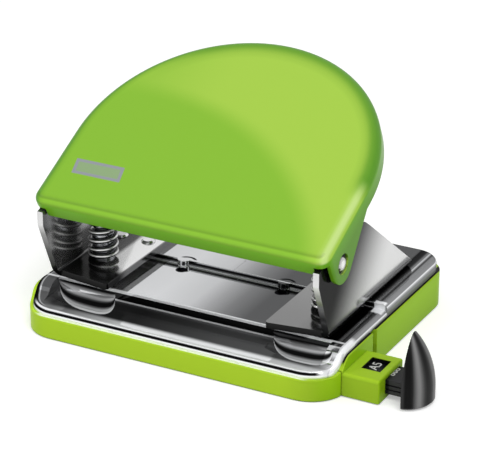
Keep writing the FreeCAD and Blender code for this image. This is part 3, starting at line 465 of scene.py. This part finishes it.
def bracket_steel():
    """Bright sheet, with painted reflections from dark at the front of its walls to light at the
    back.
    """
    item, nodes = material("bright_sheet")
    x, y, z = nodes.split(nodes.point())
    right_side = nodes.smooth(x, -1, 1)
    lean = nodes.times(nodes.math("SUBTRACT", z, WALL_MIDDLE), WALL_LEAN)
    right_wall = nodes.smooth(nodes.math("SUBTRACT", y, lean), -30, 12, 0.04, 0.86)
    left_wall = nodes.ramp(y, (-38, 0.2), (-30, 0.5), (-24, 0.35), (-12, 0.5), (10, 0.8))
    wall = nodes.mix(right_side, left_wall, right_wall)
    # Painted reflections on the feet: light beside the springs, dark towards the front of the left
    # foot
    right_foot = nodes.ramp(x, (28, 0.31), (38, 0.31), (48, 0.2))
    left_foot = nodes.ramp(x, (-44, 0.05), (-37.5, 0.12), (-35.8, 0.95), (-28.6, 1.0),
                           (-28.1, 0.25))
    left_foot = nodes.mix(nodes.smooth(y, -20, -26), left_foot, grey(0.03))
    foot = nodes.mix(right_side, left_foot, right_foot)
    level = nodes.mix(nodes.smooth(z, FOOT_TOP - 0.5, FOOT_TOP + 2.0), foot, wall)
    # Painted light on the front edges of the walls, brighter higher up
    forward = nodes.normal()["Y"]
    front_edge_light = nodes.ramp(z, (16.0, 0.01), (18.0, 0.02), (26.0, 0.1), (33.0, 0.3), (36.5, 0.65),
                            (42.0, 0.6))
    level = nodes.mix(nodes.smooth(forward, -0.5, -0.8), level, front_edge_light)
    nodes.surface(level, roughness=0.12, grain=0.06, grain_scale=METAL_GRAIN, edge=0.2,
                  stretch=(1.0, 0.05, 0.05), metal=0.9, Specular_IOR_Level=0.0,
                  Specular_Tint=grey(0.5))
    return item


def plain_metal(name, colour, roughness, grain):
    item, nodes = material(name)
    nodes.surface(nodes.cloudy(colour, scale=60.0, dull=0.85), roughness, grain,
                  grain_scale=METAL_GRAIN, edge=0.2, metal=1.0, Specular_IOR_Level=0.0)
    return item


# The handle's pivot in Y and Z
PIVOT = (-27.5, 39.9)


def pin_metal():
    """Turned head of the hinge pin, with a painted shade ring round a painted highlight on its
    face.
    """
    item, nodes = material("pin_metal")
    y, z = nodes.split(nodes.point())[1:]
    level = nodes.ramp(nodes.distance(y, z, PIVOT), (0.0, 0.85), (1.0, 0.8), (1.5, 0.45),
                       (1.9, 0.6), (2.3, 0.1), (2.7, 0.03))
    nodes.surface(level, roughness=0.16, grain=0.05, grain_scale=METAL_GRAIN, edge=0.2, metal=0.8,
                  Specular_IOR_Level=0.0)
    return item


def spring_metal():
    """Bright wire with painted light and shade: light along its upper side, darker on its very top,
    black below.
    """
    item, nodes = material("spring_wire")
    up = nodes.normal()["Z"]
    level = nodes.ramp(up, (-0.6, 0.005), (-0.25, 0.01), (-0.02, 0.3), (0.15, 0.95), (0.65, 0.9),
                       (0.75, 0.35), (1.0, 0.1))
    nodes.surface(level, roughness=0.16, grain=0.05, grain_scale=METAL_GRAIN, edge=0.1, metal=0.7,
                  Specular_IOR_Level=0.0)
    return item


# Handle: its front top edge and its tilt, then in its own plane, from that edge, its half width,
# the length of its straight sides and the middle of the ring of sheen
HANDLE_EDGE, HANDLE_TILT = (0, -39.79, 45.46), math.radians(26.8)
HANDLE_HALF, HANDLE_STRAIGHT = 51.2, 30.6
SHEEN_MIDDLE = (-33.8, -34.4)


def handle_lacquer():
    """Green lacquer, with painted light and shade: a sheen across its back right part, darker rims,
    a highlight stripe, light and dark lines on its front edge, and a shaded skirt and underside."""
    item, nodes = material("green_lacquer")
    x, y, z = nodes.split(nodes.turned(nodes.away(nodes.point(), HANDLE_EDGE), -HANDLE_TILT))
    across, forward, up = nodes.normal(HANDLE_TILT)
    sheen = nodes.times(nodes.smooth(nodes.distance(x, y, SHEEN_MIDDLE), 82.5, 91.5),
                        nodes.smooth(x, -52, -8, 0.25, 1))
    painted = nodes.mix(sheen, HANDLE_GREEN, SHEEN_GREEN)

    # Painted shade on the rounded rims at the left and back
    round_back = nodes.math("MAXIMUM", nodes.math("SUBTRACT", y, HANDLE_STRAIGHT), 0.0)
    inside = nodes.math("SUBTRACT", HANDLE_HALF, nodes.length(x, round_back))
    wider = nodes.times(inside, nodes.smooth(x, 0, 45, 0.78, 1.0))
    left = nodes.ramp(inside, (1.9, 1.0), (2.4, 0.8), (2.85, 0.45), (3.3, 0.22), (4.5, 0.0))
    back = nodes.ramp(wider, (1.0, 1.0), (2.4, 0.85), (3.1, 0.65), (3.9, 0.38), (4.8, 0.18),
                      (6.5, 0.0))
    right_side = nodes.times(nodes.smooth(y, 34, 24), nodes.smooth(x, 38, 44))
    rim = nodes.times(nodes.mix(nodes.smooth(x, -40, -20), left, back), nodes.outside(right_side))
    painted = nodes.mix(rim, painted, RIM_SHADE_GREEN)
    # Painted highlight stripe along the right rounding
    stripe_highlight = nodes.ramp(inside, (0.3, 0.0), (0.9, 0.85), (1.7, 0.85), (2.7, 0.2), (4.0, 0.0))
    painted = nodes.mix(nodes.times(stripe_highlight, right_side), painted, STRIPE_HIGHLIGHT_GREEN)

    # Painted light and dark lines along the front edge
    front = nodes.ramp(up, (0.0, 0.6), (0.26, 0.78), (0.54, 1.12), (0.74, 1.12), (0.87, 0.72),
                       (0.955, 0.9), (1.0, 1.0))
    facing_front = nodes.times(nodes.smooth(forward, -0.05, -0.1),
                               nodes.smooth(nodes.math("ABSOLUTE", across), 0.6, 0.3))
    painted = nodes.tint(painted, nodes.mix(facing_front, grey(1), front))
    # Painted shade on the skirt, darker on its flanks and low down
    skirt_shade = nodes.tint(nodes.mix(nodes.smooth(across, 0.3, 0.8), SHADED_SKIRT_GREEN, SHADED_FLANK_GREEN),
                       nodes.ramp(z, (-8, 0.8), (-4, 1.0), (-2, 1.1)))
    painted = nodes.mix(nodes.smooth(up, 0.35, 0.05), painted, skirt_shade)
    # Painted shade on the underside
    underside_shade = nodes.times(nodes.smooth(z, -0.5, -0.9), nodes.smooth(up, -0.1, -0.5))
    painted = nodes.mix(underside_shade, painted, nodes.scale(HANDLE_GREEN[:3], 0.35))
    painted = nodes.mix(handle_patch(nodes, x, y, z), painted, PRINT_GREY)
    # Painted shade in gaps and joints
    nodes.surface(nodes.gap_shaded(painted, 2.5), roughness=0.3, grain=0.04, grain_scale=1400.0,
                  edge=0.3, Specular_IOR_Level=0.12)
    return item


# Patch on the handle: the middle, the lean of its ends, and its frame and field in X and Y
PATCH_MIDDLE, PATCH_LEAN, FIELD_FADE = 15.9, 0.17, 0.45
FRAME_WIDTH, FRAME_DEPTH = (-43.3, -26.0), (12.9, 18.9)
FIELD_WIDTH, FIELD_DEPTH = (-42.2, -27.1), (14.0, 17.8)


def handle_patch(nodes, x, y, z):
    """A bare printed patch: a grey frame round a weaker field, with leaning ends."""
    lean = nodes.times(nodes.math("SUBTRACT", y, PATCH_MIDDLE), PATCH_LEAN)
    along = nodes.math("ADD", x, lean)
    patch = nodes.times(nodes.band(along, *FRAME_WIDTH, 0.15), nodes.band(y, *FRAME_DEPTH, 0.15),
                        nodes.smooth(z, -0.3, -0.1))
    field = nodes.times(nodes.band(along, *FIELD_WIDTH, 0.2), nodes.band(y, *FIELD_DEPTH, 0.2))
    return nodes.times(patch, nodes.outside(nodes.times(field, FIELD_FADE)))


# Tray's front face, then the guide housing's window in X and Y, and its top
TRAY_FRONT = -44.0
WINDOW_WIDTH, WINDOW_DEPTH, HOUSING_TOP = (58.5, 65.0), (-29.4, -21.1), 8.1


def tray_plastic():
    """Moulded green plastic with painted shade: darker on its right side and low down, black in its
    gaps and window, and a painted highlight along its front sill.
    """
    item, nodes = material("green_plastic")
    x, y, z = nodes.split(nodes.point())
    direction = nodes.normal()
    side, level_top = nodes.smooth(direction["X"], 0.3, 0.9), nodes.smooth(direction["Z"], 0.5, 0.8)
    # Painted shade: darker low down and on faces turned to the right, lighter along the top edge
    front_shade = nodes.ramp(z, (0, 0.95), (6.2, 1.0), (6.7, 0.95), (7.2, 1.2))
    side_shade = nodes.ramp(z, (-1, 0.75), (4, 0.9), (9, 1.0), (14, 1.0))
    green = nodes.mix(nodes.smooth(x, 38, 52), FRONT_GREEN, TRAY_GREEN)
    colour = nodes.tint(nodes.mix(side, green, SHADED_SIDE_GREEN),
                        nodes.mix(side, front_shade, side_shade))
    # Painted black shade in the guide housing's window and in the gap beside the plate
    window_shade = nodes.times(nodes.band(x, *WINDOW_WIDTH, 0.05),
                               nodes.band(y, *WINDOW_DEPTH, 0.05),
                               nodes.smooth(z, HOUSING_TOP - 0.05, HOUSING_TOP - 0.15))
    plate_gap_shadow = nodes.times(nodes.band(x, PLATE_SIDE - 1.2, PLATE_SIDE + 0.65, 0.1),
                            nodes.smooth(y, -34.5, -33), level_top, nodes.smooth(z, 7.0, 7.5))
    colour = nodes.mix(nodes.either(window_shade, plate_gap_shadow), colour, grey(0.004))
    # Painted highlight along the front sill
    sill_highlight = nodes.times(nodes.band(y, TRAY_FRONT + 0.45, TRAY_FRONT + 2.0, 0.1),
                       nodes.smooth(x, 48, 44), level_top, nodes.smooth(x, -50, -46))
    # Painted shade in gaps and joints, under the sill's highlight
    colour = nodes.mix(sill_highlight, nodes.gap_shaded(colour, 2.0), SILL_HIGHLIGHT_GREEN)
    nodes.surface(colour, roughness=0.34, grain=0.05, grain_scale=1700.0, edge=0.4,
                  Specular_IOR_Level=0.05)
    return item


KNOB_START = 68.0


def black_plastic():
    """Black plastic of the rule, and of the knob with painted highlight bands round its upright
    side.
    """
    item, nodes = material("black_plastic")
    across, forward, up = nodes.normal()
    heading = nodes.times(nodes.math("ARCTAN2", forward, across), 180 / math.pi)
    # Painted highlights and shade round the knob, by the direction its side faces
    side = nodes.ramp(heading, (-150, 0.02), (-83, 0.04), (-73, 0.03), (-68, 0.0), (-57, 0.0),
                      (-53, 0.01), (-48, 0.09), (-42, 0.2), (-37, 0.21), (-32, 0.12),
                      (-26, 0.04), (-20, 0.01), (-13, 0.005), (-5, 0.02), (5, 0.11), (28, 0.1),
                      (60, 0.02))
    knob = nodes.mix(nodes.smooth(up, 0.75, 0.95), side, KNOB_TOP)
    x = nodes.split(nodes.point())["X"]
    colour = nodes.mix(nodes.smooth(x, KNOB_START, KNOB_START + 0.6), BLACK, knob)
    nodes.surface(colour, roughness=0.35, grain=0.06, grain_scale=2600.0, edge=0.3,
                  Specular_IOR_Level=0.12)
    return item


def finishes():
    """Gives each solid its material, and returns that of the spring wire."""
    rivet = plain_metal("rivet_metal", RIVET_METAL, roughness=0.18, grain=0.05)
    pin = pin_metal()
    tool = plain_metal("tool_metal", TOOL_METAL, roughness=0.2, grain=0.1)
    wire = spring_metal()
    chrome, steel, plastic, black = plate_chrome(), bracket_steel(), tray_plastic(), black_plastic()
    choice = {
        "base_plate": chrome, "handle_shell": handle_lacquer(), "chip_tray": plastic,
        "guide_housing": plastic, "guide_rule": black, "guide_knob": black,
        "pressure_bar": tool, "pressure_frame": steel, "frame_rivets": rivet,
    }
    for side in ("left_", "right_"):
        choice.update({
            side + "bracket": steel, side + "bracket_rivets": rivet, side + "die": tool,
            side + "guide_bush": tool, side + "pivot_pin": pin, side + "punch": tool,
            side + "spring_washer": rivet, side + "spring": wire,
        })
    for node, finish in choice.items():
        mesh = frame["nodes"][node].data
        mesh.materials.clear()
        mesh.materials.append(finish)
    return wire


# ---------------------------------------------------------------- pieces

SPRING_TURNS = 7.0
SPRING_RADIUS, SPRING_WIRE = 5.0 * MM, 1.4 * MM
SPRING_START = 0.25
WIRE_SIDES, TURN_STEPS = 12, 40


def spring(side, wire):
    """Coil spring of round wire from the foot to the washer, with a closed coil at each end."""
    low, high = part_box(side + "spring")
    centre = [(a + b) / 2 for a, b in zip(low, high)]
    foot, length = low[2], high[2] - low[2]
    radius, reach = SPRING_WIRE / 2, SPRING_RADIUS - SPRING_WIRE / 2
    rise, count = length - SPRING_WIRE, round(SPRING_TURNS * TURN_STEPS)
    pitch = (rise - 2 * SPRING_WIRE) / (SPRING_TURNS - 2)
    points, faces = [], []
    for step in range(count + 1):
        turns = SPRING_TURNS * step / count
        turn = 2 * math.pi * (turns + SPRING_START)
        open_turns = min(max(turns - 1, 0), SPRING_TURNS - 2)
        lift = (turns - open_turns) * SPRING_WIRE + open_turns * pitch
        for corner in range(WIRE_SIDES):
            angle = 2 * math.pi * corner / WIRE_SIDES
            out = reach + radius * math.cos(angle)
            points.append((centre[0] + out * math.cos(turn), centre[1] + out * math.sin(turn),
                           foot + radius + lift + radius * math.sin(angle)))
    for step in range(count):
        for corner in range(WIRE_SIDES):
            a, b = step * WIRE_SIDES + corner, step * WIRE_SIDES + (corner + 1) % WIRE_SIDES
            faces.append((a, b, b + WIRE_SIDES, a + WIRE_SIDES))
    faces.append(tuple(range(WIRE_SIDES)))
    faces.append(tuple(count * WIRE_SIDES + corner for corner in reversed(range(WIRE_SIDES))))
    mesh = bpy.data.meshes.new(side + "spring_wire")
    mesh.from_pydata(points, [], faces)
    mesh.polygons.foreach_set("use_smooth", [len(face) == 4 for face in faces])
    mesh.materials.append(wire)
    item = bpy.data.objects.new(side + "spring_wire", mesh)
    bpy.context.scene.collection.objects.link(item)
    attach(item, "base")
    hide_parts(side + "spring")
    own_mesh(item)


# Print on the rule: its middle stands half its thickness over the rule's top
PRINT_HALF = 0.05 * MM
PRINT_TOP = 6.5 * MM + PRINT_HALF
LETTER_SIZE = 1.4


def printed(name, words, x, y, height):
    """White print on the rule, read from the front to the back."""
    curve = bpy.data.curves.new(name, "FONT")
    curve.body, curve.align_x, curve.align_y = words, "CENTER", "CENTER"
    curve.size, curve.extrude = height * LETTER_SIZE, PRINT_HALF
    draft = bpy.data.objects.new(name + "_draft", curve)
    bpy.context.scene.collection.objects.link(draft)
    bpy.context.view_layer.update()
    mesh = bpy.data.meshes.new_from_object(draft)
    bpy.data.objects.remove(draft)
    mesh.transform(Matrix.Translation((x, y, PRINT_TOP)) @ Matrix.Rotation(math.pi / 2, 4, "Z"))
    ink, nodes = material(name + "_ink")
    nodes.surface(nodes.cloudy(WHITE, scale=900.0, dull=0.9), roughness=0.5, grain=0.05,
                  grain_scale=3000.0, edge=0.05)
    mesh.materials.clear()
    mesh.materials.append(ink)
    item = bpy.data.objects.new(name, mesh)
    bpy.context.scene.collection.objects.link(item)
    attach(item, "paper_guide")


# ---------------------------------------------------------------- studio

FLOOR_SIZE, FLOOR_GAP = 6.0, 0.05 * MM
FLOOR_COLOUR, FLOOR_GLOW = (0.86, 0.86, 0.86, 1), 0.35
AMBIENT = 0.75
AIM = (0, 0, 0.03)


def floor():
    """Pale floor that looks white to the camera and in the mirror plate."""
    data = bpy.data.meshes.new("floor")
    half = FLOOR_SIZE / 2
    data.from_pydata([(-half, -half, 0), (half, -half, 0), (half, half, 0), (-half, half, 0)],
                     [], [(0, 1, 2, 3)])
    item = bpy.data.objects.new("floor", data)
    item.location.z = cad_box[0][2] - FLOOR_GAP
    bpy.context.scene.collection.objects.link(item)
    surface, nodes = material("pale_floor")
    rays = nodes.add("LightPath").outputs
    seen = nodes.either(rays["Is Camera Ray"], rays["Is Glossy Ray"])
    shader = nodes.add("BsdfPrincipled", {"Emission Strength": nodes.times(seen, FLOOR_GLOW)},
                       Roughness=0.8, Base_Color=FLOOR_COLOUR, Emission_Color=grey(1),
                       Specular_IOR_Level=0.0)
    nodes.add("OutputMaterial", {"Surface": shader.outputs[0]})
    data.materials.append(surface)


def world():
    """White to the camera. Mirrors see a room that is brighter above, and the rest takes a soft
    ambient light."""
    item = bpy.data.worlds.new("studio")
    bpy.context.scene.world = item
    item.use_nodes = True
    nodes = Nodes(item.node_tree)
    rays = nodes.add("LightPath").outputs
    up = nodes.split(nodes.add("TexCoord").outputs["Generated"])["Z"]
    ambient = nodes.ramp(up, (0.0, 0.9), (1.0, 0.55))
    mirrored = nodes.ramp(up, (0.0, 0.75), (0.1, 0.75), (0.3, 1.0), (1.0, 1.0))
    room = nodes.mix(rays["Is Glossy Ray"], nodes.scale(ambient, AMBIENT), mirrored)
    shown = nodes.mix(rays["Is Camera Ray"], room, grey(1))
    back = nodes.add("Background", {"Color": shown})
    nodes.add("OutputWorld", {"Surface": back.outputs[0]})


def softbox(name, place, size, power):
    data = bpy.data.lights.new(name, "AREA")
    data.shape, data.size, data.size_y, data.energy = "RECTANGLE", size, size, power
    item = bpy.data.objects.new(name, data)
    item.location = place
    direction = Vector(AIM) - Vector(place)
    item.rotation_euler = direction.to_track_quat("-Z", "Y").to_euler()
    bpy.context.scene.collection.objects.link(item)


camera()
spring_finish = finishes()
for prefix in ("left_", "right_"):
    spring(prefix, spring_finish)
printed("paper_mark", "A5", 60.8 * MM, -23.5 * MM, 3.1 * MM)
printed("paper_number", "888", 67.2 * MM, -24.2 * MM, 2.6 * MM)
floor()
world()
softbox("key", (0.5, -0.5, 1.1), size=0.7, power=8.0)
softbox("fill", (-0.9, -0.6, 0.7), size=0.6, power=2.5)

bpy.context.scene.view_settings.view_transform = "Standard"
